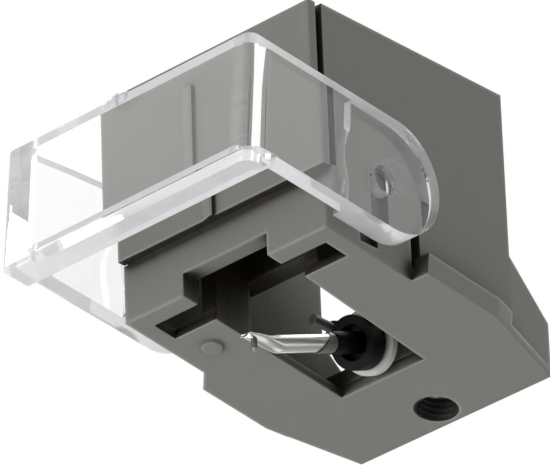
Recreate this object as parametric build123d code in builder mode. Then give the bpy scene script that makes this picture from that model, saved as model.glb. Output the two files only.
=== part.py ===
from build123d import *
import math
import os

# Replacement stylus assembly for a turntable cartridge: a moulded holder that is open at the back and
# top, a clear flip-down guard, and a sprung cantilever that carries the stylus.
# Millimetres. +Z is up as on a record player, -Y is the front where the stylus is, +X is to the right
# seen from behind. The origin is the middle of the holder's mouth, in the plane of its top rim.

os.makedirs("parts", exist_ok=True)

# Holder, outside
body_width = 12.5
body_depth = 12.4
body_height = 11.65
side_wall = 0.85
front_wall = 0.92
block_width = 12.3
block_overhang = 0.48
block_foot = 2.95
groove_width = 0.3
groove_depth = 0.5
cut_through = 0.12

# Holder, sloping bottom, rails and tail
bottom_slope = 7.0
plate_thickness = 0.45
rail_span = 14.5
rail_height = 1.1
rail_front = 5.6
rail_root_left = 5.15
rail_front_left = 6.16
rail_back = 10.35
rail_end = 11.55
rail_end_inset = 0.29
tail_reach = 15.3
tail_width = 11.8
tail_shoulder = 3.18
tail_height = 0.85
floor_thickness = 1.35

# Holder, openings in the bottom and front
notch_width = 5.2
notch_height = 1.15
slot_width = 10.66
slot_back = 2.3
stem_width = 5.5
stem_taper = 0.4
bay_end = 10.6

# Holder, ribs inside the front chamber
rib_thickness = 0.85
rib_back = 4.6
bridge_front = 4.45
bridge_back = 5.84
bridge_foot = 2.42
roof_foot = 6.0
roof_thickness = 0.9

# Holder, sides
pivot_setback = 3.2
pivot_height = 3.3
pip_diameter = 1.4
pip_clearance = 0.05
lead_in_front = 2.22
lead_in_width = 1.16
lead_in_depth = 0.45
lead_in_foot = 0.12
slit_front = 5.62
slit_width = 0.6
slit_top = 3.2

# Holder, small features
screw_hole_diameter = 2.1
screw_setback = 14.1
pad_diameter = 1.2
pad_proud = 0.14
pad_taper = 40
pad_side = 4.42
pad_setback = 3.78
weld_rib_width = 0.7
weld_rib_proud = 0.16
weld_rib_side = 0.45
weld_rib_top = 8.75
boss_width = 2.8
boss_back = 12.0

# Guard
guard_tilt = 5.4
guard_gap = 0.5
guard_arm = 0.93
guard_height = 5.8
guard_reach = 9.62
guard_plate = 1.1
guard_lip_depth = 1.87
guard_lip_drop = 0.45
guard_corner = 0.5
guard_inner_corner = 0.7
pad_gap = 0.08
pad_reach = 2.6
pip_length = 0.78

# Suspension, in distances along the cantilever's line from the pivot
axis_setback = 9.0
axis_drop = 0.1
cantilever_angle = 21.0
damper_diameter = 2.58
damper_front = 0.68
damper_back = 0.2
damper_bore_gap = 0.08
damper_pocket_diameter = 1.7
damper_pocket_depth = 0.6
sleeve_diameter = 3.1
sleeve_gap = 0.18
sleeve_length = 0.35
pipe_diameter = 1.3
pipe_bore = 0.3
pipe_proud = 0.25
wire_diameter = 0.14
wire_tip = 0.3
crimp_diameter = 0.6
crimp_length = 0.35

# Magnet rods, level and at 45 degrees above the pivot, in two ears behind the damper's face
magnet_diameter = 0.5
magnet_side = 1.2
magnet_rise = 0.98
magnet_front = 7.1
magnet_back = 8.7
ear_radius = 0.44
ear_front = 0.15

# Cantilever and stylus
tube_diameter = 0.85
tube_wall = 0.1
tube_start = 0.58
tube_round_end = 6.4
tongue_mid = 7.13
tongue_end = 8.48
tongue_width = 1.0
tongue_root_thickness = 0.34
tongue_end_width = 0.84
tongue_thickness = 0.24
tongue_mid_lift = 0.1
tongue_lift = 0.42
tongue_notch = 0.55
tongue_notch_left = 0.25
tongue_notch_right = 0.33
collar_diameter = 0.98
collar_top = 2.38
collar_bottom = 3.38
collar_root = 1.88
bush_diameter = 1.04
bush_root = 0.15
wire_hole_gap = 0.05
shank_distance = 7.76
shank_diameter = 0.3
shank_lift = 0.2
shank_up = 0.22
shank_down = 0.36
diamond_length = 0.24
diamond_diameter = 0.2
diamond_point = 0.04

# Places worked out from the sizes
front = -(body_depth + front_wall) / 2
base = -body_height
back = front + body_depth
half_body = body_width / 2
half_inside = half_body - side_wall
slope = math.radians(bottom_slope)
bottom_plane = Plane(
    origin=(0, front, base), x_dir=(1, 0, 0), z_dir=(0, math.sin(slope), math.cos(slope))
)
pivot_y = front + pivot_setback
pivot_z = base + pivot_height
axis_y = front + axis_setback
axis_z = base - axis_drop
angle = math.radians(cantilever_angle)
sleeve_front = damper_back + sleeve_gap
boss_front = (bay_end - axis_setback) / math.cos(angle) - boss_width * math.tan(angle)
boss_end = (boss_back - axis_setback) / math.cos(angle)
pipe_end = boss_end + pipe_proud

# The tube plane stands across the cantilever's line at the pivot: its z runs to the stylus, its y up
tube_plane = Plane(
    origin=(0, axis_y, axis_z), x_dir=(1, 0, 0), z_dir=(0, -math.cos(angle), -math.sin(angle))
)


def bottom_z(setback, above=0.0):
    """Height of the sloping bottom at a distance behind the front, or of a layer above it."""
    return base - setback * math.tan(slope) + above / math.cos(slope)


# Holder: one moulding
with BuildPart() as holder:
    # Side outline: the block overhangs the foot, and the tail slopes down behind the side walls
    with BuildSketch(Plane.YZ):
        with BuildLine():
            Polyline(
                (front, base),
                (front, base + block_foot),
                (front - block_overhang, base + block_foot),
                (front - block_overhang, 0),
                (back, 0),
                (back, base + tail_shoulder),
                (front + tail_reach, base + tail_height),
                (front + tail_reach, bottom_z(tail_reach)),
                close=True,
            )
        make_face()
    extrude(amount=half_body, both=True)

    # The tail narrows towards the back
    with BuildSketch(Plane.XY.offset(base + tail_shoulder)):
        with BuildLine():
            Polyline(
                (half_body, back),
                (rail_span, back),
                (rail_span, front + tail_reach),
                (tail_width / 2, front + tail_reach),
                close=True,
            )
        make_face()
        mirror(about=Plane.YZ)
    extrude(amount=-body_height, mode=Mode.SUBTRACT)

    # Bottom plate: it steps out at the rails and tapers to the tail
    plate_length = tail_reach / math.cos(slope)
    with BuildSketch(bottom_plane):
        with BuildLine():
            Polyline(
                (0, 0),
                (half_body, 0),
                (half_body, rail_front),
                (rail_span / 2, rail_front),
                (rail_span / 2, rail_back),
                (tail_width / 2, plate_length),
                (-tail_width / 2, plate_length),
                (-rail_span / 2, rail_back),
                (-rail_span / 2, rail_front_left),
                (-half_body, rail_root_left),
                (-half_body, 0),
                close=True,
            )
        make_face()
    extrude(amount=plate_thickness)

    # Rails along the lower edges
    with BuildSketch(bottom_plane):
        for side, root, corner in ((1, rail_front, rail_front), (-1, rail_root_left, rail_front_left)):
            with BuildLine():
                Polyline(
                    (side * half_inside, root),
                    (side * half_body, root),
                    (side * rail_span / 2, corner),
                    (side * rail_span / 2, rail_back),
                    (side * (rail_span / 2 - rail_end_inset), rail_end),
                    (side * half_inside, rail_end),
                    close=True,
                )
            make_face()
    extrude(amount=rail_height)

    # Hollow for the cartridge body: open at the top and the back, with a thicker floor behind the bay
    with BuildSketch(Plane.YZ):
        with BuildLine():
            Polyline(
                (front + front_wall, 1),
                (front + front_wall, bottom_z(front_wall, plate_thickness)),
                (front + bay_end, bottom_z(bay_end, plate_thickness)),
                (front + bay_end, bottom_z(bay_end, floor_thickness)),
                (front + tail_reach + 1, bottom_z(tail_reach + 1, floor_thickness)),
                (front + tail_reach + 1, 1),
                close=True,
            )
        make_face()
    extrude(amount=half_inside, both=True, mode=Mode.SUBTRACT)

    # Roof over the front chamber, and the bridge that hangs below it
    with BuildSketch(Plane.XY.offset(base + roof_foot)):
        with Locations((0, front + (front_wall + bridge_back) / 2)):
            Rectangle(2 * half_inside, bridge_back - front_wall)
    extrude(amount=roof_thickness)
    with BuildSketch(Plane.XY.offset(base + bridge_foot)):
        with Locations((0, front + (bridge_front + bridge_back) / 2)):
            Rectangle(stem_width + 2 * rib_thickness, bridge_back - bridge_front)
    extrude(amount=roof_foot - bridge_foot)

    # Two ribs stand on the plate beside the stem of the opening and carry the bridge
    with BuildSketch(Plane.XY.offset(bottom_z(slot_back, 0.1))):
        with Locations(
            ((stem_width + rib_thickness) / 2, front + (slot_back + rib_back) / 2),
            (-(stem_width + rib_thickness) / 2, front + (slot_back + rib_back) / 2),
        ):
            Rectangle(rib_thickness, rib_back - slot_back)
    extrude(amount=base + roof_foot - bottom_z(slot_back, 0.1))

    # Boss for the joint pipe, round-backed and along the cantilever's line, on the floor behind the
    # bay. Its front is cut flush with the floor's front face.
    with BuildSketch(tube_plane.offset(-boss_front)):
        Circle(boss_width / 2)
        with Locations((0, -boss_width / 2)):
            Rectangle(boss_width, boss_width)
    extrude(amount=boss_front - boss_end)
    with BuildSketch(Plane.YZ):
        with BuildLine():
            Polyline(
                (front + bridge_back, bottom_z(bridge_back, plate_thickness)),
                (front + bridge_back, 0),
                (front + bay_end, 0),
                (front + bay_end, bottom_z(bay_end, plate_thickness)),
                close=True,
            )
        make_face()
    extrude(amount=stem_width / 2, both=True, mode=Mode.SUBTRACT)
    with BuildSketch(bottom_plane):
        with Locations((0, bay_end)):
            Rectangle(2 * boss_width, 4 * boss_width)
    extrude(amount=-body_height, mode=Mode.SUBTRACT)
    with BuildSketch(tube_plane):
        Circle(pipe_diameter / 2)
    extrude(amount=-pipe_end, mode=Mode.SUBTRACT)

    # T-shaped opening in the bottom, with the notch for the cantilever in the front wall
    with BuildSketch(bottom_plane):
        with Locations((0, (front_wall + slot_back) / 2)):
            Rectangle(slot_width, slot_back - front_wall)
        with BuildLine():
            Polyline(
                (-stem_width / 2, front_wall),
                (stem_width / 2, front_wall),
                (stem_width / 2, slot_back),
                (stem_width / 2 - stem_taper, bay_end / math.cos(slope)),
                (-stem_width / 2, bay_end / math.cos(slope)),
                close=True,
            )
        make_face()
    extrude(amount=plate_thickness + cut_through, mode=Mode.SUBTRACT)
    with BuildSketch(Plane.XZ.offset(-front)):
        with Locations((0, base)):
            Rectangle(notch_width, 2 * notch_height)
    extrude(amount=-(front_wall + cut_through), mode=Mode.SUBTRACT)

    # Grooves at the corners between the block and the side walls, and the block's slightly
    # smaller width
    with BuildSketch(Plane.XY.offset(base + block_foot)):
        for side in (1, -1):
            with Locations((side * (half_body + groove_depth), front + groove_width / 3)):
                Rectangle(4 * groove_depth, groove_width)
            with Locations((side * (block_width / 2 + groove_depth), front - block_overhang / 2)):
                Rectangle(2 * groove_depth, block_overhang + groove_width / 3)
    extrude(amount=body_height, mode=Mode.SUBTRACT)

    # Pivot holes for the guard, with the lead-in grooves that its pips ride up
    for side in (1, -1):
        with BuildSketch(Plane.YZ.offset(side * half_body)):
            with Locations((pivot_y, pivot_z)):
                Circle(pip_diameter / 2 + pip_clearance)
        extrude(amount=-side * side_wall, mode=Mode.SUBTRACT)
        with BuildSketch(Plane.YZ.offset(side * half_body)):
            with Locations((front + lead_in_front + lead_in_width / 2, (base + lead_in_foot + pivot_z) / 2)):
                Rectangle(lead_in_width, pivot_z - base - lead_in_foot)
        extrude(amount=-side * lead_in_depth, mode=Mode.SUBTRACT)

    # Slits in the side walls just ahead of the rails
    with BuildSketch(Plane.YZ):
        with Locations((front + slit_front + slit_width / 2, base + slit_top / 2)):
            Rectangle(slit_width, slit_top)
    extrude(amount=half_body + cut_through, both=True, mode=Mode.SUBTRACT)

    # Tapped hole for the screw that locks the holder to the cartridge
    with BuildSketch(bottom_plane):
        with Locations((0, screw_setback)):
            Circle(screw_hole_diameter / 2)
    extrude(amount=2 * floor_thickness, mode=Mode.SUBTRACT)

    # Low round ejector pad on the bottom
    with BuildSketch(bottom_plane):
        with Locations((-pad_side, pad_setback)):
            Circle(pad_diameter / 2)
    extrude(amount=-pad_proud, taper=pad_taper)

    # Low upright rib on the block's front face
    with BuildSketch(Plane.XY.offset(base + block_foot)):
        with BuildLine():
            Polyline(
                (-weld_rib_side - weld_rib_width / 2, front - block_overhang + cut_through),
                (-weld_rib_side - weld_rib_width / 2, front - block_overhang),
                (-weld_rib_side + weld_rib_width / 4, front - block_overhang - weld_rib_proud),
                (-weld_rib_side + weld_rib_width / 2, front - block_overhang - weld_rib_proud),
                (-weld_rib_side + weld_rib_width / 2, front - block_overhang + cut_through),
                close=True,
            )
        make_face()
    extrude(amount=weld_rib_top - block_foot)

holder.part.label = "holder"
export_step(holder.part, "parts/holder.step")

# Guard: a clear U of two arms and a front plate, drawn in its own tilted frame. Its x runs forward
# from the pivot along the arms, and its y runs up.
tilt = math.radians(guard_tilt)
guard_plane = Plane(
    origin=(0, pivot_y, pivot_z), x_dir=(0, -math.cos(tilt), math.sin(tilt)), z_dir=(-1, 0, 0)
)
arm_inside = half_body + guard_gap
half_guard = arm_inside + guard_arm
guard_upright = Axis((0, pivot_y, pivot_z), (0, math.sin(tilt), math.cos(tilt)))
guard_forward = Axis((0, pivot_y, pivot_z), (0, -math.cos(tilt), math.sin(tilt)))
with BuildPart() as guard:
    with BuildSketch(guard_plane):
        Circle(guard_height / 2)
        with Locations((guard_reach / 2, 0)):
            Rectangle(guard_reach, guard_height)
    extrude(amount=half_guard, both=True)
    with BuildSketch(guard_plane):
        Rectangle(2 * (guard_reach - guard_plate), 2 * guard_height)
    extrude(amount=arm_inside, both=True, mode=Mode.SUBTRACT)
    with BuildSketch(guard_plane):
        with Locations((guard_reach - guard_lip_depth / 2, -guard_height / 2)):
            Rectangle(guard_lip_depth, 2 * guard_lip_drop)
    extrude(amount=half_guard, both=True)
    uprights = guard.edges().filter_by(guard_upright).group_by(guard_forward)
    fillet(uprights[-1], guard_corner)
    uprights = guard.edges().filter_by(guard_upright).filter_by_position(Axis.X, -arm_inside, arm_inside)
    fillet(uprights, guard_inner_corner)
    # Thicker pads round the pivots, and the pips that snap into the holder
    for side in (1, -1):
        with BuildSketch(guard_plane.offset(-side * (half_body + pad_gap))):
            Circle(guard_height / 2)
            with Locations((pad_reach / 2, 0)):
                Rectangle(pad_reach, guard_height)
        extrude(amount=-side * (arm_inside - half_body - pad_gap))
        with BuildSketch(guard_plane.offset(-side * (half_body + pad_gap))):
            Circle(pip_diameter / 2)
        extrude(amount=side * pip_length)

guard.part.label = "guard"
export_step(guard.part, "parts/guard.step")

# Damper: black rubber disc across the cantilever's line, with a pocket round the cantilever's root
# and two ears that hold the magnets at 45 degrees
ear_out = ear_radius * math.sqrt(0.5)
ear_rise = magnet_rise / math.cos(angle)
magnet_plane = Plane.XZ.offset(-(front + magnet_front))
with BuildPart() as damper:
    with BuildSketch(tube_plane.offset(-damper_back)):
        Circle(damper_diameter / 2)
    extrude(amount=damper_back + damper_front)
    with BuildSketch(tube_plane.offset(-damper_back)):
        for side in (1, -1):
            with BuildLine():
                Polyline(
                    (side * (magnet_side + ear_out), ear_rise - ear_out),
                    (side * (magnet_side - ear_out), ear_rise + ear_out),
                    (-side * ear_out, ear_out),
                    (side * ear_out, -ear_out),
                    close=True,
                )
            make_face()
            with Locations((side * magnet_side, ear_rise)):
                Circle(ear_radius)
    extrude(amount=damper_back + ear_front)
    with BuildSketch(tube_plane.offset(damper_front)):
        Circle(damper_pocket_diameter / 2)
    extrude(amount=-damper_pocket_depth, mode=Mode.SUBTRACT)
    with BuildSketch(tube_plane.offset(-damper_back)):
        Circle(wire_diameter / 2 + damper_bore_gap)
    extrude(amount=damper_back + damper_front, mode=Mode.SUBTRACT)
    with BuildSketch(magnet_plane):
        with Locations((magnet_side, axis_z + magnet_rise), (-magnet_side, axis_z + magnet_rise)):
            Circle(magnet_diameter / 2)
    extrude(amount=magnet_front - magnet_back, mode=Mode.SUBTRACT)

damper.part.label = "damper"
export_step(damper.part, "parts/damper.step")

# Two magnet rods beside the pivot, one for each wall of the groove
for name, side in (("magnet_left", -1), ("magnet_right", 1)):
    with BuildPart() as magnet:
        with BuildSketch(magnet_plane):
            with Locations((side * magnet_side, axis_z + magnet_rise)):
                Circle(magnet_diameter / 2)
        extrude(amount=magnet_front - magnet_back)
    magnet.part.label = name
    export_step(magnet.part, "parts/" + name + ".step")

# White sleeve behind the damper
with BuildPart() as sleeve:
    with BuildSketch(tube_plane.offset(-sleeve_front)):
        Circle(sleeve_diameter / 2)
        Circle(pipe_diameter / 2, mode=Mode.SUBTRACT)
    extrude(amount=-sleeve_length)
sleeve.part.label = "sleeve"
export_step(sleeve.part, "parts/sleeve.step")

# Joint pipe: from the sleeve's face through the boss
with BuildPart() as joint_pipe:
    with BuildSketch(tube_plane.offset(-sleeve_front)):
        Circle(pipe_diameter / 2)
        Circle(pipe_bore / 2, mode=Mode.SUBTRACT)
    extrude(amount=sleeve_front - pipe_end)
joint_pipe.part.label = "joint_pipe"
export_step(joint_pipe.part, "parts/joint_pipe.step")

# Tie wire on the axis, from the collar's root to the crimp behind the pipe
with BuildPart() as tie_wire:
    with BuildSketch(tube_plane.offset(wire_tip)):
        Circle(wire_diameter / 2)
    extrude(amount=-(wire_tip + pipe_end + crimp_length))
tie_wire.part.label = "tie_wire"
export_step(tie_wire.part, "parts/tie_wire.step")

with BuildPart() as wire_crimp:
    with BuildSketch(tube_plane.offset(-pipe_end)):
        Circle(crimp_diameter / 2)
        Circle(wire_diameter / 2, mode=Mode.SUBTRACT)
    extrude(amount=-crimp_length)
wire_crimp.part.label = "wire_crimp"
export_step(wire_crimp.part, "parts/wire_crimp.step")

# Cantilever: a thin tube from the pivot, pressed flat towards the stylus
stylus_y = axis_y - shank_distance * math.cos(angle)
stylus_z = axis_z - shank_distance * math.sin(angle) + shank_lift
tongue_tip = axis_y - tongue_end * math.cos(angle)
with BuildPart() as cantilever:
    with BuildSketch(tube_plane.offset(tube_start)):
        Circle(tube_diameter / 2)
    extrude(amount=tube_round_end - tube_start)
    with BuildSketch(tube_plane.offset(tube_round_end)):
        Circle(tube_diameter / 2)
    with BuildSketch(tube_plane.offset(tongue_mid)):
        with Locations((0, tongue_mid_lift)):
            Ellipse(tongue_width / 2, tongue_root_thickness / 2)
    loft()
    with BuildSketch(tube_plane.offset(tongue_mid)):
        with Locations((0, tongue_mid_lift)):
            Ellipse(tongue_width / 2, tongue_root_thickness / 2)
    with BuildSketch(tube_plane.offset(tongue_end)):
        with Locations((0, tongue_lift)):
            Ellipse(tongue_end_width / 2, tongue_thickness / 2)
    loft()
    with BuildSketch(tube_plane.offset(tube_start)):
        Circle(tube_diameter / 2 - tube_wall)
    extrude(amount=tube_round_end - tube_start, mode=Mode.SUBTRACT)
    # Split end of the flattened tube
    with BuildSketch(Plane.XY.offset(stylus_z + 1)):
        with BuildLine():
            Polyline(
                (-tongue_notch_left, tongue_tip),
                (-tongue_notch_left, tongue_tip - 1),
                (tongue_notch_right, tongue_tip - 1),
                (tongue_notch_right, tongue_tip),
                (0, tongue_tip + tongue_notch),
                close=True,
            )
        make_face()
    extrude(amount=-2, mode=Mode.SUBTRACT)
    # Hole for the shank
    with BuildSketch(Plane.XY.offset(stylus_z + 1)):
        with Locations((0, stylus_y)):
            Circle(shank_diameter / 2)
    extrude(amount=-2, mode=Mode.SUBTRACT)
cantilever.part.label = "cantilever"
export_step(cantilever.part, "parts/cantilever.step")

# Collar: a dull metal sleeve on the tube, with a slanting front end
with BuildPart() as collar:
    with BuildSketch(tube_plane.offset(collar_root)):
        Circle(collar_diameter / 2)
        Circle(tube_diameter / 2, mode=Mode.SUBTRACT)
    extrude(amount=collar_bottom - collar_root)
    with BuildSketch(Plane(origin=tube_plane.origin, x_dir=tube_plane.z_dir, z_dir=(-1, 0, 0))):
        with BuildLine():
            Polyline(
                (collar_top, collar_diameter / 2),
                (collar_bottom, -collar_diameter / 2),
                (collar_bottom + 1, -collar_diameter / 2),
                (collar_bottom + 1, collar_diameter / 2),
                close=True,
            )
        make_face()
    extrude(amount=collar_diameter, both=True, mode=Mode.SUBTRACT)
collar.part.label = "collar"
export_step(collar.part, "parts/collar.step")

# Bush: the black rubber root that fills the gap between the tube and the damper's pocket
with BuildPart() as bush:
    with BuildSketch(tube_plane.offset(bush_root)):
        Circle(bush_diameter / 2)
    extrude(amount=collar_root - bush_root)
    with BuildSketch(tube_plane.offset(tube_start)):
        Circle(tube_diameter / 2)
    extrude(amount=collar_root - tube_start, mode=Mode.SUBTRACT)
    with BuildSketch(tube_plane.offset(bush_root)):
        Circle(wire_diameter / 2 + wire_hole_gap)
    extrude(amount=tube_start - bush_root, mode=Mode.SUBTRACT)
bush.part.label = "bush"
export_step(bush.part, "parts/bush.step")

# Stylus: a metal shank with the ground diamond on its end
with BuildPart() as shank:
    with BuildSketch(Plane.XY.offset(stylus_z + shank_up)):
        with Locations((0, stylus_y)):
            Circle(shank_diameter / 2)
    extrude(amount=-(shank_up + shank_down))
shank.part.label = "stylus_shank"
export_step(shank.part, "parts/stylus_shank.step")

with BuildPart() as diamond:
    with BuildSketch(Plane.XY.offset(stylus_z - shank_down)):
        with Locations((0, stylus_y)):
            Circle(diamond_diameter / 2)
    with BuildSketch(Plane.XY.offset(stylus_z - shank_down - diamond_length)):
        with Locations((0, stylus_y)):
            Circle(diamond_point / 2)
    loft()
diamond.part.label = "stylus_diamond"
export_step(diamond.part, "parts/stylus_diamond.step")
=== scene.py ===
"""Looks of a turntable stylus cartridge: grey moulded holder, clear flip guard, bright cantilever.

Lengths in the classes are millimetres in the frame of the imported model: +Z up, -Y the stylus end, +X to
the right seen from behind. Meshes are written in metres.
"""
import functools
import logging
import math
from dataclasses import dataclass
from enum import Enum

import bpy
import numpy as np
from mathutils import Matrix, Vector


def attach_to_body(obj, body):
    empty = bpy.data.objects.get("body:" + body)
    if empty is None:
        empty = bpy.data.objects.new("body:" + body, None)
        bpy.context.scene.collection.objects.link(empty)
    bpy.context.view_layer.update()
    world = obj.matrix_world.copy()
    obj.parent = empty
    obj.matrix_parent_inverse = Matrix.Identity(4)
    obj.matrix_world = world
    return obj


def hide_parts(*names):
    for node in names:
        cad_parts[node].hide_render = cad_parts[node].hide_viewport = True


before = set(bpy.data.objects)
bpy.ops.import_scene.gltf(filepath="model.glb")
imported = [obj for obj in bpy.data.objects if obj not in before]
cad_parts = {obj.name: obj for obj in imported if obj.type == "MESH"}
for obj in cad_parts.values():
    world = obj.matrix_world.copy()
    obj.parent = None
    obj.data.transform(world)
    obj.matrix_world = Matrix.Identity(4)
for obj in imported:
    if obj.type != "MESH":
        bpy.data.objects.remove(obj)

log = logging.getLogger("stylus")
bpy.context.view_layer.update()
MM = 0.001
TURN = 2.0 * math.pi

Colour = tuple[float, float, float]
Point = tuple[float, float, float]
Material = bpy.types.Material
Object = bpy.types.Object
Socket = bpy.types.NodeSocket
Sockets = bpy.types.bpy_prop_collection
Tree = bpy.types.NodeTree


class Body(Enum):
    """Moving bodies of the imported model."""

    HOLDER = "holder"
    GUARD = "guard"
    DAMPER = "damper"
    CANTILEVER = "cantilever"


def rgba(colour: Colour) -> tuple[float, float, float, float]:
    """Returns a colour with an alpha of one."""
    return (*colour, 1.0)


class Surface:
    """Meshes made from whole numpy arrays of points."""

    @staticmethod
    def grid(name: str, points: np.ndarray, closed_ring: bool = True, caps: bool = True) -> Object:
        """Makes a mesh from rings of points.

        Point [i, j] is the j-th point of ring i. Each quad joins points j and j + 1 of two neighbouring
        rings, and a cap is one flat face on the first and on the last ring.

        Args:
            name: Name of the object and of its mesh.
            points: Array of rings x points x 3, in millimetres.
            closed_ring: Whether the last point of a ring joins its first.
            caps: Whether the first and last rings are closed with a face.

        Returns:
            The new object, at the origin.
        """
        rings, count, _ = points.shape
        index = np.arange(rings * count).reshape(rings, count)
        following = np.roll(index, -1, axis=1)
        span = count if closed_ring else count - 1
        quads = np.stack(
            [index[:-1, :span], following[:-1, :span], following[1:, :span], index[1:, :span]], axis=-1
        ).reshape(-1, 4)
        faces = quads.tolist()
        if caps:
            faces += [index[0, ::-1].tolist(), index[-1].tolist()]
        mesh = bpy.data.meshes.new(name)
        mesh.from_pydata((points.reshape(-1, 3) * MM).tolist(), [], faces)
        mesh.polygons.foreach_set("use_smooth", np.ones(len(faces), dtype=bool))
        mesh.update()
        obj = bpy.data.objects.new(name, mesh)
        bpy.context.scene.collection.objects.link(obj)
        return obj

    @staticmethod
    def smooth(low: float, high: float, value: np.ndarray) -> np.ndarray:
        """Returns 0 below low, 1 above high, and between them 3 t squared minus 2 t cubed."""
        t = np.clip((value - low) / (high - low), 0.0, 1.0)
        return t * t * (3.0 - 2.0 * t)


@dataclass(frozen=True)
class CantileverLine:
    """The line from the pivot down to the stylus, as a frame of three directions."""

    pivot: Point = (0.0, 2.34, -11.75)
    slope_deg: float = 21.0

    def place(self, across: np.ndarray, above: np.ndarray, along: np.ndarray) -> np.ndarray:
        """Turns distances from the line into points.

        A point is the pivot, plus across times +X, plus above times the direction square to the line and
        upwards, plus along times the direction to the stylus.

        Args:
            across: Distances to the right.
            above: Distances above the line.
            along: Distances from the pivot towards the stylus.

        Returns:
            Array with the same shape and a last axis of x, y, z.
        """
        slope = math.radians(self.slope_deg)
        across, above, along = np.broadcast_arrays(across, above, along)
        y = self.pivot[1] - math.cos(slope) * along - math.sin(slope) * above
        z = self.pivot[2] - math.sin(slope) * along + math.cos(slope) * above
        return np.stack([self.pivot[0] + across, y, z], axis=-1)

    def turned(self, name: str, profile: list[tuple[float, float]], steps: int = 64) -> Object:
        """Makes a turned piece on the line.

        Each profile point is a radius and a distance along the line, and is carried round a full circle.

        Args:
            name: Name of the piece.
            profile: Outline as (radius, distance along) pairs, outer side first from back to front.
            steps: Points round the circle.

        Returns:
            The new object.
        """
        outline = np.array(profile)
        angle = np.linspace(0.0, TURN, steps, endpoint=False)
        across = outline[:, :1] * np.cos(angle)
        above = outline[:, :1] * np.sin(angle)
        return Surface.grid(name, self.place(across, above, outline[:, 1:2]), caps=False)


def feed(tree: Tree, socket: Socket, value: Socket | float | tuple[float, ...]) -> None:
    """Links a socket into an input, or sets a plain value on it.

    Args:
        tree: Node tree to work in.
        socket: The input.
        value: Socket to link, or plain value to set.
    """
    if isinstance(value, Socket):
        tree.links.new(value, socket)
    else:
        socket.default_value = value


def calc(tree: Tree, operation: str, *values: Socket | float, clamp: bool = False) -> Socket:
    """Places a Math node.

    Args:
        tree: Node tree to work in.
        operation: Name of the operation.
        *values: Sockets or numbers for its inputs, in order.
        clamp: Whether the result is held between 0 and 1.

    Returns:
        Its output.
    """
    node = tree.nodes.new("ShaderNodeMath")
    node.operation = operation
    node.use_clamp = clamp
    for socket, value in zip(node.inputs, values):
        feed(tree, socket, value)
    return node.outputs["Value"]


def vector_calc(tree: Tree, operation: str, *values: Socket | Point) -> Sockets:
    """Places a Vector Math node.

    Args:
        tree: Node tree to work in.
        operation: Name of the operation.
        *values: Sockets or plain vectors for its inputs, in order.

    Returns:
        Its outputs, Vector and Value.
    """
    node = tree.nodes.new("ShaderNodeVectorMath")
    node.operation = operation
    for socket, value in zip(node.inputs, values):
        feed(tree, socket, value)
    return node.outputs


def ramp(
    tree: Tree,
    value: Socket,
    start: Socket | float,
    end: Socket | float,
    low: float = 0.0,
    high: float = 1.0,
    smooth: bool = False,
) -> Socket:
    """Maps a value from start..end to low..high.

    Args:
        tree: Node tree to work in.
        value: The value.
        start: Value that gives low.
        end: Value that gives high.
        low: Result at the start.
        high: Result at the end.
        smooth: Whether the ramp eases in and out.

    Returns:
        The mapped value, held between low and high.
    """
    node = tree.nodes.new("ShaderNodeMapRange")
    if smooth:
        node.interpolation_type = "SMOOTHSTEP"
    limits = {"Value": value, "From Min": start, "From Max": end, "To Min": low, "To Max": high}
    for name, limit in limits.items():
        feed(tree, node.inputs[name], limit)
    return node.outputs["Result"]


def noise(
    tree: Tree, where: Socket, scale: Socket | float, detail: float = 2.0, roughness: float = 0.5
) -> Socket:
    """Places a noise and returns its value.

    Args:
        tree: Node tree to work in.
        where: Place that the noise is read at.
        scale: Waves per metre.
        detail: Octaves above the first.
        roughness: Share that each octave keeps of the one before.

    Returns:
        The noise, from 0 to 1.
    """
    node = tree.nodes.new("ShaderNodeTexNoise")
    wanted = {"Vector": where, "Scale": scale, "Detail": detail, "Roughness": roughness}
    for name, value in wanted.items():
        feed(tree, node.inputs[name], value)
    return node.outputs["Fac"]


def mixed(tree: Tree, factor: Socket, first: Socket | Colour, second: Socket | Colour) -> Socket:
    """Mixes two colours by a mask.

    Args:
        tree: Node tree to work in.
        factor: Mask from 0, the first colour, to 1, the second.
        first: Colour where the mask is 0.
        second: Colour where the mask is 1.

    Returns:
        The mixed colour.
    """
    node = tree.nodes.new("ShaderNodeMix")
    node.data_type = "RGBA"
    feed(tree, node.inputs["Factor"], factor)
    for name, colour in (("A", first), ("B", second)):
        feed(tree, node.inputs[name], colour if isinstance(colour, Socket) else rgba(colour))
    return node.outputs["Result"]


def shader_mix(tree: Tree, factor: Socket | float, first: Socket, second: Socket) -> Socket:
    """Mixes two shaders.

    Args:
        tree: Node tree to work in.
        factor: Share of the second shader.
        first: The first shader.
        second: The second shader.

    Returns:
        The mixed shader.
    """
    node = tree.nodes.new("ShaderNodeMixShader")
    for socket, value in zip(node.inputs, (factor, first, second)):
        feed(tree, socket, value)
    return node.outputs["Shader"]


def plain_shader(tree: Tree, kind: str, colour: Colour | Socket, strength: float | None = None) -> Socket:
    """Places a one-colour shader.

    Args:
        tree: Node tree to work in.
        kind: Node type of the shader.
        colour: Its colour.
        strength: Its strength, for a background.

    Returns:
        Its output.
    """
    node = tree.nodes.new(kind)
    feed(tree, node.inputs["Color"], colour if isinstance(colour, Socket) else rgba(colour))
    if strength is not None:
        feed(tree, node.inputs["Strength"], strength)
    return node.outputs[0]


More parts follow.
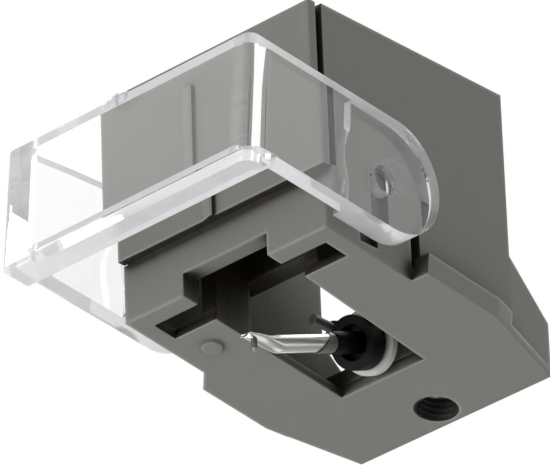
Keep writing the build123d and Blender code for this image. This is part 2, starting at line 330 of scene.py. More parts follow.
def bumped(
    tree: Tree, height: Socket, strength: float, depth_mm: float, normal: Socket | None = None
) -> Socket:
    """Bends the normal by a height.

    Args:
        tree: Node tree to work in.
        height: The height, from 0 to 1.
        strength: Share of the bump.
        depth_mm: Depth of the full height in millimetres.
        normal: Normal to start from, or none for the surface's own.

    Returns:
        The bent normal.
    """
    node = tree.nodes.new("ShaderNodeBump")
    feed(tree, node.inputs["Strength"], strength)
    feed(tree, node.inputs["Distance"], depth_mm * MM)
    feed(tree, node.inputs["Height"], height)
    if normal is not None:
        feed(tree, node.inputs["Normal"], normal)
    return node.outputs["Normal"]


class Groups:
    """Shader node groups that several finishes share. They put out masks, values and normals only."""

    @staticmethod
    def start(
        name: str, values: dict[str, float], outputs: dict[str, str]
    ) -> tuple[Tree, Sockets, Sockets]:
        """Starts a group with named sockets.

        Args:
            name: Name of the group.
            values: Name and default of each input number.
            outputs: Name and socket type of each output.

        Returns:
            The new group, its given values and its results.
        """
        group = bpy.data.node_groups.new(name, "ShaderNodeTree")
        for socket_name, value in values.items():
            socket = group.interface.new_socket(socket_name, in_out="INPUT", socket_type="NodeSocketFloat")
            socket.default_value = value
        for socket_name, kind in outputs.items():
            group.interface.new_socket(socket_name, in_out="OUTPUT", socket_type=kind)
        given = group.nodes.new("NodeGroupInput")
        return group, given.outputs, group.nodes.new("NodeGroupOutput").inputs

    @staticmethod
    @functools.cache
    def edge_light() -> Tree:
        """Builds the mask of the edges, from 0 on a flat face to 1 on a sharp edge. The grey moulding
        paints a highlight along it.

        It is one minus the dot product of the face's normal and the normal that a small bevel gives,
        times the strength.

        Returns:
            The group.
        """
        group, given, result = Groups.start(
            "edge light",
            {"Radius": 0.0001, "Strength": 6.0},
            {"Edge": "NodeSocketFloat", "Normal": "NodeSocketVector"},
        )
        bevel = group.nodes.new("ShaderNodeBevel")
        bevel.samples = 6
        feed(group, bevel.inputs["Radius"], given["Radius"])
        face = group.nodes.new("ShaderNodeNewGeometry").outputs["True Normal"]
        flat = vector_calc(group, "DOT_PRODUCT", bevel.outputs["Normal"], face)["Value"]
        bent = calc(group, "SUBTRACT", 1.0, flat)
        feed(group, result["Edge"], calc(group, "MULTIPLY", bent, given["Strength"], clamp=True))
        feed(group, result["Normal"], bevel.outputs["Normal"])
        return group

    @staticmethod
    @functools.cache
    def grain() -> Tree:
        """Builds moulding grain: a fine noise for height, and broad clouds for colour and roughness.

        Scales count waves per metre on Object coordinates.

        Returns:
            The group.
        """
        group, given, result = Groups.start(
            "moulding grain",
            {"Fine": 9000.0, "Broad": 260.0},
            {"Height": "NodeSocketFloat", "Clouds": "NodeSocketFloat"},
        )
        where = group.nodes.new("ShaderNodeTexCoord").outputs["Object"]
        feed(group, result["Height"], noise(group, where, given["Fine"], detail=3.0))
        feed(group, result["Clouds"], noise(group, where, given["Broad"], detail=4.0, roughness=0.6))
        return group

    @staticmethod
    @functools.cache
    def cavity() -> Tree:
        """Builds the mask of deep places, from 0 in the open to 1 in a deep corner or hollow. The grey
        moulding paints shade with it.

        It is one minus how much of the space within the reach is open, as a smooth step from Low to High.

        Returns:
            The group.
        """
        group, given, result = Groups.start(
            "deep places", {"Reach": 0.004, "Low": 0.1, "High": 0.6}, {"Deep": "NodeSocketFloat"}
        )
        openness = group.nodes.new("ShaderNodeAmbientOcclusion")
        openness.samples = 8
        openness.only_local = True
        feed(group, openness.inputs["Distance"], given["Reach"])
        closed = calc(group, "SUBTRACT", 1.0, openness.outputs["AO"])
        feed(group, result["Deep"], ramp(group, closed, given["Low"], given["High"], smooth=True))
        return group

    @staticmethod
    @functools.cache
    def streaks() -> Tree:
        """Builds fine streaks along one axis: a noise on Object coordinates that is stretched.

        The Stretch inputs multiply x, y and z, so the streaks run along the axis with the least.

        Returns:
            The group.
        """
        group, given, result = Groups.start(
            "fine streaks",
            {"Stretch X": 1.0, "Stretch Y": 1.0, "Stretch Z": 0.1, "Scale": 5000.0},
            {"Height": "NodeSocketFloat", "Lines": "NodeSocketFloat"},
        )
        join = group.nodes.new("ShaderNodeCombineXYZ")
        for axis, letter in enumerate("XYZ"):
            feed(group, join.inputs[axis], given["Stretch " + letter])
        where = group.nodes.new("ShaderNodeTexCoord").outputs["Object"]
        scaled = vector_calc(group, "MULTIPLY", where, join.outputs["Vector"])["Vector"]
        height = noise(group, scaled, given["Scale"], detail=4.0)
        sharp = group.nodes.new("ShaderNodeValToRGB")
        sharp.color_ramp.elements[0].position = 0.62
        sharp.color_ramp.elements[1].position = 0.72
        feed(group, sharp.inputs["Fac"], height)
        feed(group, result["Height"], height)
        feed(group, result["Lines"], sharp.outputs["Color"])
        return group


def new_material(name: str) -> tuple[Material, Tree, bpy.types.Node]:
    """Starts a material.

    Args:
        name: Name of the material.

    Returns:
        The material, its node tree and its Principled shader.
    """
    material = bpy.data.materials.new(name)
    material.use_nodes = True
    return material, material.node_tree, material.node_tree.nodes["Principled BSDF"]


def add_group(tree: Tree, group: Tree, **values: float) -> Sockets:
    """Places a group in a material.

    Args:
        tree: The material's node tree.
        group: The group to place.
        **values: Input values, with underscores for the spaces in the sockets' names.

    Returns:
        The outputs of the new group node.
    """
    node = tree.nodes.new("ShaderNodeGroup")
    node.node_tree = group
    for socket, value in values.items():
        node.inputs[socket.replace("_", " ")].default_value = value
    return node.outputs


@dataclass(frozen=True)
class GreyMoulding:
    """Satin grey plastic with fine grain, a few rub marks, a painted highlight on its edges and painted
    shade in its hollows.
    """

    base: Colour = (0.275, 0.273, 0.25)
    cloud: Colour = (0.3, 0.298, 0.275)
    # Painted highlight: the colour that the edges are lightened to.
    edge: Colour = (0.47, 0.455, 0.41)
    rub: Colour = (0.37, 0.365, 0.34)
    # Painted shade: the darkest and the palest colour that deep corners and hollows are darkened to.
    deep: Colour = (0.012, 0.009, 0.005)
    pale_shade: Colour = (0.055, 0.049, 0.036)
    fine: float = 7000.0
    broad: float = 300.0
    rub_scale: float = 1900.0
    rub_stretch: float = 0.12
    rub_share: float = 0.18
    bevel_mm: float = 0.3
    edge_strength: float = 7.0
    grain_mm: float = 0.004
    grain_share: float = 0.25
    reach_mm: float = 7.0
    deep_low: float = 0.02
    deep_high: float = 0.3
    rough_low: float = 0.46
    rough_high: float = 0.62
    specular: float = 0.2

    def material(self) -> Material:
        """Builds the material: clouds, rub marks, a painted highlight on the edges and painted shade in the
        hollows, with grain in the bump.

        Returns:
            The material.
        """
        material, tree, shader = new_material("grey moulded plastic")
        grain = add_group(tree, Groups.grain(), Fine=self.fine, Broad=self.broad)
        edge = add_group(tree, Groups.edge_light(), Radius=self.bevel_mm * MM, Strength=self.edge_strength)
        rubs = add_group(
            tree,
            Groups.streaks(),
            Stretch_X=1.0,
            Stretch_Y=1.0,
            Stretch_Z=self.rub_stretch,
            Scale=self.rub_scale,
        )
        cavity = add_group(
            tree, Groups.cavity(), Reach=self.reach_mm * MM, Low=self.deep_low, High=self.deep_high
        )
        tone = mixed(tree, grain["Clouds"], self.base, self.cloud)
        tone = mixed(tree, ramp(tree, rubs["Lines"], 0.0, 1.0, 0.0, self.rub_share), tone, self.rub)
        # Painted highlight along the edges.
        tone = mixed(tree, edge["Edge"], tone, self.edge)
        # Painted shade: deep corners and hollows darken to the two shade colours, varied by the streak
        # noise.
        painted_shade = mixed(tree, rubs["Height"], self.deep, self.pale_shade)
        feed(tree, shader.inputs["Base Color"], mixed(tree, cavity["Deep"], tone, painted_shade))
        rough = ramp(tree, grain["Clouds"], 0.0, 1.0, self.rough_low, self.rough_high)
        feed(tree, shader.inputs["Roughness"], rough)
        normal = bumped(tree, grain["Height"], self.grain_share, self.grain_mm, edge["Normal"])
        feed(tree, shader.inputs["Normal"], normal)
        shader.inputs["Specular IOR Level"].default_value = self.specular
        return material


@dataclass(frozen=True)
class ClearAcrylic:
    """Clear polished plastic that refracts, with faint waves from the mould. Its shadow is light."""

    tint: Colour = (0.99, 0.992, 0.992)
    shadow: Colour = (0.94, 0.943, 0.947)
    cloudy: Colour = (0.93, 0.935, 0.95)
    roughness: float = 0.006
    ior: float = 1.49
    wave_scale: float = 260.0
    wave_share: float = 0.1
    wave_mm: float = 0.02
    rough_scale: float = 160.0
    haze_scale: float = 2600.0
    haze_stretch: float = 0.15
    tilt_deg: float = 5.4
    narrow_facing: tuple[float, float] = (0.6, 0.85)
    back_facing: tuple[float, float] = (0.2, 0.6)
    front_facing: float = -0.7
    cloudy_share: float = 0.55
    corner_share: float = 0.6
    corner_start: float = 6.5
    corner_end: float = 6.8
    arm_start: float = -3.0
    ring_share: float = 0.75
    ring_inner: tuple[float, float] = (0.4, 0.5)
    ring_outer: tuple[float, float] = (0.72, 0.95)
    ring_uneven: float = 0.22
    ring_scale: float = 1500.0
    pivot_y: float = -3.46
    pivot_z: float = -8.35
    deepest: float = 4.5

    def edge_mask(self, tree: Tree) -> Socket:
        """Masks the narrow faces, which come cloudy from the mould.

        They are the faces whose normal lies along the guard's own upright, either way, and those of the
        arms' round ends, whose normal points back and which lie behind the arms' start. The two ends of
        the front face, further out than the corner's start, and a ring round each pivot take a share.

        Args:
            tree: The material's node tree.

        Returns:
            Socket that is 1 on a narrow face and 0 on a clear one.
        """
        where = tree.nodes.new("ShaderNodeTexCoord").outputs
        normal, place = tree.nodes.new("ShaderNodeSeparateXYZ"), tree.nodes.new("ShaderNodeSeparateXYZ")
        feed(tree, normal.inputs["Vector"], where["Normal"])
        feed(tree, place.inputs["Vector"], where["Object"])
        facing, across = normal.outputs["Y"], place.outputs["X"]
        tilt = math.radians(self.tilt_deg)
        upright = vector_calc(tree, "DOT_PRODUCT", where["Normal"], (0.0, math.sin(tilt), math.cos(tilt)))
        narrow = ramp(tree, calc(tree, "ABSOLUTE", upright["Value"]), *self.narrow_facing)
        behind = calc(tree, "GREATER_THAN", place.outputs["Y"], self.arm_start * MM)
        round_end = calc(tree, "MULTIPLY", ramp(tree, facing, *self.back_facing), behind)
        aside = calc(tree, "ABSOLUTE", across)
        corner = ramp(tree, aside, self.corner_start * MM, self.corner_end * MM, 0.0, self.corner_share)
        faces_front = calc(tree, "LESS_THAN", facing, self.front_facing)
        at_corner = calc(tree, "MULTIPLY", corner, faces_front)
        masks = calc(tree, "MAXIMUM", calc(tree, "MAXIMUM", narrow, round_end), at_corner)
        return calc(tree, "MAXIMUM", masks, self.pivot_ring(tree, where["Object"]))

    def pivot_ring(self, tree: Tree, place: Socket) -> Socket:
        """Masks the cloudy ring round each pivot hole.

        It is a pair of steps on the distance from the pivot's axis, which a noise makes uneven.

        Args:
            tree: The material's node tree.
            place: Object coordinates.

        Returns:
            Socket that is the ring's share on the ring and 0 elsewhere.
        """
        pivot = (0.0, self.pivot_y * MM, self.pivot_z * MM)
        offset = vector_calc(tree, "SUBTRACT", place, pivot)["Vector"]
        from_axis = vector_calc(tree, "MULTIPLY", offset, (0.0, 1.0, 1.0))["Vector"]
        reach = vector_calc(tree, "LENGTH", from_axis)["Value"]
        wander = self.ring_uneven * MM
        uneven = ramp(tree, noise(tree, place, self.ring_scale), 0.0, 1.0, -wander, wander)
        inner = ramp(tree, reach, self.ring_inner[0] * MM, self.ring_inner[1] * MM)
        ragged = calc(tree, "ADD", reach, uneven)
        outer = ramp(tree, ragged, self.ring_outer[0] * MM, self.ring_outer[1] * MM, self.ring_share, 0.0)
        return calc(tree, "MULTIPLY", inner, outer)

    def material(self) -> Material:
        """Builds the material: glass to the eye, cloudy on its narrow faces.

        It is open to shadow and bounced light rays, and to rays that have already turned many times
        inside the wall, so they leave it and don't end in black.

        Returns:
            The material.
        """
        material, tree, shader = new_material("clear acrylic")
        shader.inputs["Base Color"].default_value = rgba(self.tint)
        shader.inputs["Metallic"].default_value = 0.0
        shader.inputs["Transmission Weight"].default_value = 1.0
        shader.inputs["IOR"].default_value = self.ior
        grain = add_group(tree, Groups.grain(), Fine=self.wave_scale, Broad=self.rough_scale)
        rough = ramp(tree, grain["Clouds"], 0.0, 1.0, self.roughness * 0.3, self.roughness * 1.7)
        feed(tree, shader.inputs["Roughness"], rough)
        feed(tree, shader.inputs["Normal"], bumped(tree, grain["Height"], self.wave_share, self.wave_mm))
        streaks = add_group(
            tree,
            Groups.streaks(),
            Stretch_X=self.haze_stretch,
            Stretch_Y=self.haze_stretch,
            Stretch_Z=1.0,
            Scale=self.haze_scale,
        )
        low, high = self.cloudy_share * 0.7, self.cloudy_share * 1.3
        share = ramp(tree, streaks["Height"], 0.0, 1.0, low, high)
        masked = calc(tree, "MULTIPLY", share, self.edge_mask(tree))
        milk = shader_mix(
            tree,
            0.5,
            plain_shader(tree, "ShaderNodeBsdfDiffuse", self.cloudy),
            plain_shader(tree, "ShaderNodeBsdfTranslucent", self.cloudy),
        )
        body = shader_mix(tree, masked, shader.outputs["BSDF"], milk)
        clear = plain_shader(tree, "ShaderNodeBsdfTransparent", self.shadow)
        path = tree.nodes.new("ShaderNodeLightPath").outputs
        late = calc(tree, "GREATER_THAN", path["Ray Depth"], self.deepest)
        indirect = calc(tree, "MAXIMUM", path["Is Shadow Ray"], path["Is Diffuse Ray"])
        surface = shader_mix(tree, calc(tree, "MAXIMUM", indirect, late), body, clear)
        feed(tree, tree.nodes["Material Output"].inputs["Surface"], surface)
        return material


@dataclass(frozen=True)
class TonedFinish:
    """A finish with two close tones, its own roughness range and a fine bump."""

    name: str
    base: Colour
    second: Colour
    rough_low: float
    rough_high: float
    metallic: float = 0.0
    specular: float = 0.5
    grain_mm: float = 0.002
    grain_share: float = 0.3
    fine: float = 9000.0
    broad: float = 1500.0
    bevel_mm: float = 0.03

    def material(self) -> Material:
        """Builds the material from the grain and edge groups.

        Returns:
            The material.
        """
        material, tree, shader = new_material(self.name)
        grain = add_group(tree, Groups.grain(), Fine=self.fine, Broad=self.broad)
        edge = add_group(tree, Groups.edge_light(), Radius=self.bevel_mm * MM, Strength=1.0)
        feed(tree, shader.inputs["Base Color"], mixed(tree, grain["Clouds"], self.base, self.second))
        rough = ramp(tree, grain["Clouds"], 0.0, 1.0, self.rough_low, self.rough_high)
        feed(tree, shader.inputs["Roughness"], rough)
        normal = bumped(tree, grain["Height"], self.grain_share, self.grain_mm, edge["Normal"])
        feed(tree, shader.inputs["Normal"], normal)
        shader.inputs["Metallic"].default_value = self.metallic
        shader.inputs["Specular IOR Level"].default_value = self.specular
        return material


BLACK_RUBBER = TonedFinish(
    "black rubber", (0.0025, 0.0025, 0.0025), (0.005, 0.005, 0.005), 0.45, 0.6, specular=0.12
)
DARK_MAGNET = TonedFinish("dark magnet", (0.12, 0.118, 0.112), (0.16, 0.157, 0.15), 0.35, 0.5, specular=0.6)
WHITE_SLEEVE = TonedFinish("white sleeve", (0.72, 0.72, 0.69), (0.78, 0.78, 0.75), 0.4, 0.55)
DRAWN_BRASS = TonedFinish("drawn brass", (0.62, 0.5, 0.27), (0.68, 0.56, 0.32), 0.25, 0.4, metallic=1.0)
STEEL_WIRE = TonedFinish("steel wire", (0.5, 0.5, 0.5), (0.6, 0.6, 0.6), 0.25, 0.35, metallic=1.0)
BRIGHT_ALLOY = TonedFinish(
    "bright alloy", (0.84, 0.83, 0.81), (0.78, 0.77, 0.75), 0.2, 0.3, metallic=1.0, grain_mm=0.001
)
DULL_COLLAR = TonedFinish("dull collar", (0.17, 0.165, 0.155), (0.24, 0.235, 0.22), 0.3, 0.45, metallic=0.8)
CLOUDY_MARK = TonedFinish("cloudy mark", (0.8, 0.805, 0.83), (0.92, 0.925, 0.95), 0.3, 0.5, broad=2500.0)
DARK_SHANK = TonedFinish("dark shank", (0.1, 0.1, 0.1), (0.16, 0.16, 0.16), 0.25, 0.35, metallic=0.9)
# Painted shade: near-black colour of the holder's cut thread, for the shade inside the tapped hole.
THREAD_PAINTED_SHADE = TonedFinish("dark thread", (0.012, 0.011, 0.01), (0.03, 0.028, 0.025), 0.5, 0.7, specular=0.3)
GREY_DIAMOND = TonedFinish("ground diamond", (0.3, 0.3, 0.31), (0.42, 0.42, 0.43), 0.05, 0.1, specular=1.0)


def dress_nodes(material: Material, *nodes: str) -> None:
    """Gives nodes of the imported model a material.

    Args:
        material: The material, for each of their slots.
        *nodes: Names of the nodes.
    """
    for node in nodes:
        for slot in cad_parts[node].material_slots:
            slot.material = material
        log.info("dressed %s with %s", node, material.name)


def attach(piece: Object, body: Body, slot: str, material: Material, *nodes: str) -> Object:
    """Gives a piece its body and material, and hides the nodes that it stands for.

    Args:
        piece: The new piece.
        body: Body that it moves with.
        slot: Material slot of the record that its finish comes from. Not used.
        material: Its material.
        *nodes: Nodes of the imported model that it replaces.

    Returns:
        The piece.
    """
    piece.data.materials.clear()
    piece.data.materials.append(material)
    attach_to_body(piece, body.value)
    if nodes:
        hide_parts(*nodes)
    log.info("piece %s on %s, %d faces", piece.name, body.value, len(piece.data.polygons))
    return piece


@dataclass
class HolderParts:
    """The grey holder."""

    finish: GreyMoulding = GreyMoulding()
    slope_deg: float = 7.0
    front: float = -6.66
    base: float = -11.65
    hole_setback: float = 14.1
    hole_radius: float = 1.05
    hole_depth: float = 1.32
    thread_pitch: float = 0.3
    thread_depth: float = 0.12
    thread_start: float = 0.03
    thread_clear: float = 0.01
    thread_rings: int = 72
    thread_points: int = 96

    def under(self, across: np.ndarray, setback: np.ndarray, above: np.ndarray) -> np.ndarray:
        """Turns places on the sloping bottom into points.

        A point is the bottom's front edge, plus setback back along the slope, plus above times the
        bottom's inward normal, plus across times +X.

        Args:
            across: Distances to the right.
            setback: Distances back along the slope.
            above: Heights above the bottom.

        Returns:
            Array with the same shape and a last axis of x, y, z.
        """
        slope = math.radians(self.slope_deg)
        across, setback, above = np.broadcast_arrays(across, setback, above)
        y = self.front + math.cos(slope) * setback + math.sin(slope) * above
        z = self.base - math.sin(slope) * setback + math.cos(slope) * above
        return np.stack([across, y, z], axis=-1)

    def thread(self) -> Object:
        """Makes the cut thread that lines the tapped hole, coloured near black as painted shade for the
        inside of the hole.

        It is a sleeve whose radius falls by the thread's depth along a triangle wave. The wave's phase
        is the height divided by the pitch less the share of a turn, so its ridge climbs as a helix. A
        little unevenness of three and seven waves a turn roughens the ridge.

        Returns:
            The thread, on the holder.
        """
        height = np.linspace(self.thread_start, self.hole_depth, self.thread_rings)[:, None]
        angle = np.linspace(0.0, TURN, self.thread_points, endpoint=False)[None, :]
        phase = (height / self.thread_pitch - angle / TURN) % 1.0
        ridge = 1.0 - np.abs(2.0 * phase - 1.0)
        uneven = 1.0 + 0.25 * np.sin(3.0 * angle + 1.0) + 0.2 * np.sin(7.0 * angle + 5.0 * height)
        radius = self.hole_radius - self.thread_clear - self.thread_depth * ridge * uneven
        outer = np.full((1, self.thread_points), self.hole_radius - self.thread_clear / 2.0)
        radius = np.concatenate([outer, radius, outer])
        height = np.concatenate([height[:1], height, height[-1:]])
        points = self.under(radius * np.cos(angle), self.hole_setback + radius * np.sin(angle), height)
        piece = Surface.grid("hole_thread", points, caps=False)
        # Its near-black finish is painted shade.
        return attach(piece, Body.HOLDER, "holder_plastic", THREAD_PAINTED_SHADE.material())

    def dress(self) -> None:
        """Gives the holder its moulded plastic."""
        dress_nodes(self.finish.material(), "holder")


@dataclass
class GuardParts:
    """The clear guard, as a copy of its solid with polished round edges."""

    finish: ClearAcrylic = ClearAcrylic()
    edge_mm: float = 0.12
    segments: int = 3
    weld_mm: float = 0.002
    flat_deg: float = 1.0
    edge_deg: float = 35.0
    mark_rings: int = 28
    mark_points: int = 16
    sprue_start: Point = (-1.55, -12.6, -4.6)
    sprue_end: Point = (0.0, -12.6, -4.6)
    sprue_size: tuple[float, float] = (0.16, 0.3)
    arm_radius: float = 2.88
    arm_middle: float = 7.3
    rub_from: float = 14.0
    rub_to: float = 34.0
    rub_size: tuple[float, float] = (0.25, 0.17)

    def shell(self) -> Object:
        """Copies the guard's solid, joins its loose triangles and rounds its edges.

        Returns:
            The rounded piece, which replaces the solid.
        """
        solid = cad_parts["guard"]
        mesh = solid.data.copy()
        mesh.name = "guard_shell"
        piece = bpy.data.objects.new("guard_shell", mesh)
        bpy.context.scene.collection.objects.link(piece)
        weld = piece.modifiers.new("weld", "WELD")
        weld.merge_threshold = self.weld_mm * MM
        flat = piece.modifiers.new("flat", "DECIMATE")
        flat.decimate_type = "DISSOLVE"
        flat.angle_limit = math.radians(self.flat_deg)
        bevel = piece.modifiers.new("edges", "BEVEL")
        bevel.width = self.edge_mm * MM
        bevel.segments = self.segments
        bevel.limit_method = "ANGLE"
        bevel.angle_limit = math.radians(self.edge_deg)
        bevel.harden_normals = False
        return attach(piece, Body.GUARD, "guard_clear", self.finish.material(), "guard")

    def lump(
        self, name: str, centres: np.ndarray, highs: np.ndarray, wide: Point, size: tuple[float, float]
    ) -> Object:
        """Makes a small uneven lump along a line, such as a cut sprue or a rub.

        Ring i is an ellipse round centre i. Its half width lies along wide and its half height along the
        ring's own high direction. Both shrink at the ends nearly to nothing, as a half circle does, and
        two sine waves make them uneven.

        Args:
            name: Name of the piece.
            centres: Centres of the rings, in millimetres.
            highs: Unit directions away from the guard's surface, one for each ring.
            wide: Unit direction across the lump.
            size: Half width and height in millimetres.

        Returns:
            The lump, on the guard.
        """
        share = np.linspace(0.0, 1.0, len(centres))[:, None, None]
        angle = np.linspace(0.0, TURN, self.mark_points, endpoint=False)[None, :, None]
        bow = np.sqrt(np.clip(1.0 - (2.0 * share - 1.0) ** 2, 0.0, 1.0)) + 0.02
        bow = bow * (1.0 + 0.28 * np.sin(15.0 * share + 0.6) + 0.15 * np.sin(37.0 * share))
        across = size[0] * bow * np.cos(angle) * np.array(wide)
        rise = size[1] * bow * np.sin(angle) * highs[:, None, :]
        piece = Surface.grid(name, centres[:, None, :] + across + rise)
        return attach(piece, Body.GUARD, "guard_clear", CLOUDY_MARK.material())

    def marks(self) -> None:
        """Makes the cut sprue on the front wall's top edge and the rub on the right arm's round end."""
        tilt = math.radians(self.finish.tilt_deg)
        upright = np.array([0.0, math.sin(tilt), math.cos(tilt)])
        back = np.array([0.0, math.cos(tilt), -math.sin(tilt)])
        share = np.linspace(0.0, 1.0, self.mark_rings)[:, None]
        start, end = np.array(self.sprue_start), np.array(self.sprue_end)
        highs = np.tile(upright, (self.mark_rings, 1))
        self.lump("guard_sprue", start + share * (end - start), highs, (0.0, 1.0, 0.0), self.sprue_size)
        turn = np.radians(self.rub_from + share * (self.rub_to - self.rub_from))
        highs = np.cos(turn) * upright + np.sin(turn) * back
        pivot = np.array([self.arm_middle, self.finish.pivot_y, self.finish.pivot_z])
        self.lump("guard_rub", pivot + self.arm_radius * highs, highs, (1.0, 0.0, 0.0), self.rub_size)


@dataclass
class SuspensionParts:
    """Damper, magnets, sleeve, pipe, wire and crimp behind the cantilever."""

    damper: TonedFinish = BLACK_RUBBER
    magnets: TonedFinish = DARK_MAGNET
    pipe: TonedFinish = DRAWN_BRASS
    sleeve: TonedFinish = WHITE_SLEEVE
    wire: TonedFinish = STEEL_WIRE

    def dress(self) -> None:
        """Gives the suspension's solids their finishes."""
        dress_nodes(self.damper.material(), "damper")
        dress_nodes(self.magnets.material(), "magnet_left", "magnet_right")
        dress_nodes(self.pipe.material(), "joint_pipe", "wire_crimp")
        dress_nodes(self.sleeve.material(), "sleeve")
        dress_nodes(self.wire.material(), "tie_wire")


@dataclass
class CantileverParts:
    """The bright tube with its flattened, split end, the collar and the stylus."""

    line: CantileverLine = CantileverLine()
    tube_radius: float = 0.425
    tube_start: float = 0.58
    round_end: float = 6.1
    tongue_mid: float = 7.2
    tongue_end: float = 8.2
    tongue_half_width: float = 0.42
    tongue_end_half_width: float = 0.33
    tongue_half_height: float = 0.17
    tongue_end_half_height: float = 0.11
    lift: float = 0.46
    split_depth: float = 0.35
    split_middle: float = 0.15
    split_width: float = 0.3
    end_trim: float = 0.1
    flat_extra: float = 0.1
    tube_rings: int = 90
    tube_points: int = 48
    boot_radius: float = 0.53
    boot_bore: float = 0.43
    boot_start: float = 0.3
    boot_end: float = 2.3
    boot_bevel: tuple[float, float] = (0.05, 0.04)

    def tube(self) -> Object:
        """Makes the tube as one surface.

        A ring is an ellipse whose half width and half height blend smoothly from the round tube to the
        flat tongue. The tongue's centre rises by the lift. The end is ragged: its distance from the
        pivot is the tongue's end less a notch near the middle, and one side stands further out.

        Returns:
            The tube, which replaces its solid.
        """
        share = np.linspace(0.0, 1.0, self.tube_rings)[:, None]
        angle = np.linspace(0.0, TURN, self.tube_points, endpoint=False)[None, :]
        side = np.cos(angle)
        notch = self.split_depth * np.exp(-((side - self.split_middle) / self.split_width) ** 2)
        ragged = 0.05 * np.sin(9.0 * side + 0.7) + 0.1 * np.clip(-side, 0.0, 1.0)
        end = self.tongue_end - notch + ragged - self.end_trim
        along = self.tube_start + share * (end - self.tube_start)
        flat = Surface.smooth(self.round_end, self.tongue_mid + self.flat_extra, along)
        late = Surface.smooth(self.tongue_mid, self.tongue_end, along)
        half_width = self.tube_radius + (self.tongue_half_width - self.tube_radius) * flat
        half_width = half_width + (self.tongue_end_half_width - self.tongue_half_width) * late
        half_height = self.tube_radius + (self.tongue_half_height - self.tube_radius) * flat
        half_height = half_height + (self.tongue_end_half_height - self.tongue_half_height) * late
        lift = self.lift * Surface.smooth(self.round_end, self.tongue_end, along)
        points = self.line.place(half_width * side, half_height * np.sin(angle) + lift, along)
        piece = Surface.grid("cantilever_tube", points)
        return attach(piece, Body.CANTILEVER, "cantilever_alloy", BRIGHT_ALLOY.material(), "cantilever")

    def boot(self) -> Object:
        """Makes the rubber bush as the photograph shows it, drawn over the back of the collar.

        Returns:
            The bush, which replaces its solid.
        """
        radius, bore, back, front = self.boot_radius, self.boot_bore, self.boot_start, self.boot_end
        length, depth = self.boot_bevel
        outside = [(radius, back), (radius, front - length), (radius - depth, front)]
        profile = [(bore, back), *outside, (bore, front), (bore, back)]
        piece = self.line.turned("bush_boot", profile)
        return attach(piece, Body.CANTILEVER, "damper_rubber", BLACK_RUBBER.material(), "bush")

    def dress(self) -> None:
        """Gives the collar, shank and diamond their finishes."""
        dress_nodes(DULL_COLLAR.material(), "collar")
        dress_nodes(DARK_SHANK.material(), "stylus_shank")
        dress_nodes(GREY_DIAMOND.material(), "stylus_diamond")


@dataclass(frozen=True)
class Lamp:
    """A soft square lamp that faces the object: its place and side in metres, and its power in watts."""

    name: str
    place: Point
    size: float
    watts: float

    def build(self) -> None:
        """Adds the lamp to the scene."""
        data = bpy.data.lights.new(self.name, "AREA")
        data.shape = "SQUARE"
        data.size = self.size
        data.energy = self.watts
        obj = bpy.data.objects.new(self.name, data)
        obj.location = self.place
        obj.rotation_euler = Vector(self.place).to_track_quat("Z", "Y").to_euler()
        bpy.context.scene.collection.objects.link(obj)


LAMPS = (
    Lamp("key", (-0.2, -0.36, -0.14), 0.3, 0.75),
    Lamp("side", (0.42, 0.1, 0.02), 0.3, 0.19),
    Lamp("under", (-0.22, -0.12, -0.34), 0.25, 0.26),
    Lamp("under_rear", (-0.1, 0.3, -0.26), 0.25, 0.12),
    Lamp("top", (0.0, 0.1, 0.45), 0.3, 0.7),
    Lamp("rear", (-0.15, 0.42, 0.15), 0.3, 0.5),
)


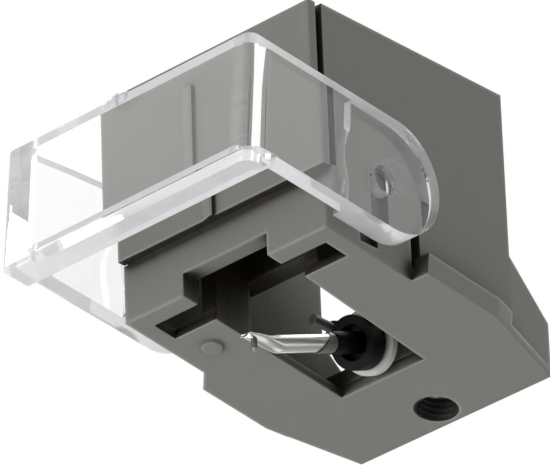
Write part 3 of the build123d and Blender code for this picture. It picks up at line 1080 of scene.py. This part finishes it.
@dataclass
class Studio:
    """Floor, soft lights, pale surroundings and the camera of the photograph."""

    camera_mm: Point = (236.963, -264.947, -204.358)
    right: Point = (0.727717, 0.684991, -0.034866)
    up: Point = (0.355307, -0.333012, 0.873418)
    back: Point = (0.586673, -0.647989, -0.485721)
    lens: float = 581.58
    sensor: float = 36.0
    clip_start: float = 0.01
    lamps: tuple[Lamp, ...] = LAMPS
    white: Colour = (1.0, 1.0, 1.0)
    fill: float = 0.3
    room: float = 0.75
    room_facing: tuple[float, float] = (-0.55, 0.35)
    window: float = 0.9
    window_facing: tuple[float, float] = (0.6, 0.95)
    window_way: Point = (-0.6, -0.65, 0.47)
    floor_drop: float = 0.55
    floor_half: float = 4000.0
    floor_tone: Colour = (0.8, 0.8, 0.8)
    floor_seen: Colour = (0.86, 0.86, 0.86)
    floor_rough: float = 0.9

    def camera(self) -> None:
        """Places the camera of the photograph, with no shift and no depth of field."""
        data = bpy.data.cameras.new("camera")
        data.lens = self.lens
        data.sensor_width = self.sensor
        data.clip_start = self.clip_start
        obj = bpy.data.objects.new("camera", data)
        axes = Matrix((self.right, self.up, self.back)).transposed()
        obj.matrix_world = Matrix.Translation(Vector(self.camera_mm) * MM) @ axes.to_4x4()
        bpy.context.scene.collection.objects.link(obj)
        bpy.context.scene.camera = obj

    def world(self) -> None:
        """Makes the surroundings: white to the eye and through clear plastic, a room in reflections.

        The room grows lighter away from the camera, and a window adds to it round its own direction.
        """
        world = bpy.data.worlds.new("surroundings")
        bpy.context.scene.world = world
        world.use_nodes = True
        tree = world.node_tree
        where = tree.nodes.new("ShaderNodeTexCoord").outputs["Generated"]
        away = vector_calc(tree, "DOT_PRODUCT", where, tuple(-part for part in self.back))["Value"]
        room = ramp(tree, away, *self.room_facing, self.room, 1.0, smooth=True)
        beside = vector_calc(tree, "DOT_PRODUCT", where, self.window_way)["Value"]
        window = ramp(tree, beside, *self.window_facing, 0.0, self.window, smooth=True)
        fill = tree.nodes["Background"]
        fill.inputs["Color"].default_value = rgba(self.white)
        fill.inputs["Strength"].default_value = self.fill
        seen = plain_shader(tree, "ShaderNodeBackground", calc(tree, "ADD", room, window), 1.0)
        white = plain_shader(tree, "ShaderNodeBackground", self.white, 1.0)
        path = tree.nodes.new("ShaderNodeLightPath").outputs
        straight = calc(tree, "MAXIMUM", path["Is Camera Ray"], path["Is Transmission Ray"])
        bounced = shader_mix(tree, path["Is Glossy Ray"], fill.outputs["Background"], seen)
        surface = shader_mix(tree, straight, bounced, white)
        feed(tree, tree.nodes["World Output"].inputs["Surface"], surface)

    def floor(self) -> None:
        """Makes a plain pale floor well below the object, which is held up by its mount."""
        edges = np.array([-self.floor_half, self.floor_half])
        x, y = np.meshgrid(edges, edges, indexing="ij")
        points = np.stack([x, y, np.full_like(x, -self.floor_drop / MM)], axis=-1)
        floor = Surface.grid("floor", points, closed_ring=False, caps=False)
        material, tree, shader = new_material("pale floor")
        shader.inputs["Base Color"].default_value = rgba(self.floor_tone)
        shader.inputs["Roughness"].default_value = self.floor_rough
        pale = plain_shader(tree, "ShaderNodeEmission", self.floor_seen)
        to_eye = tree.nodes.new("ShaderNodeLightPath").outputs["Is Camera Ray"]
        surface = shader_mix(tree, to_eye, shader.outputs["BSDF"], pale)
        feed(tree, tree.nodes["Material Output"].inputs["Surface"], surface)
        floor.data.materials.append(material)

    def build(self) -> None:
        """Builds the whole studio."""
        bpy.context.scene.view_settings.view_transform = "Standard"
        self.camera()
        self.world()
        self.floor()
        for lamp in self.lamps:
            lamp.build()


def main() -> None:
    """Builds the studio and the pieces in order."""
    logging.basicConfig(level=logging.INFO, format="%(message)s")
    Studio().build()
    holder = HolderParts()
    holder.dress()
    holder.thread()
    guard = GuardParts()
    guard.shell()
    guard.marks()
    SuspensionParts().dress()
    cantilever = CantileverParts()
    cantilever.tube()
    cantilever.boot()
    cantilever.dress()
    bpy.context.view_layer.update()


if __name__ == "__main__":
    main()
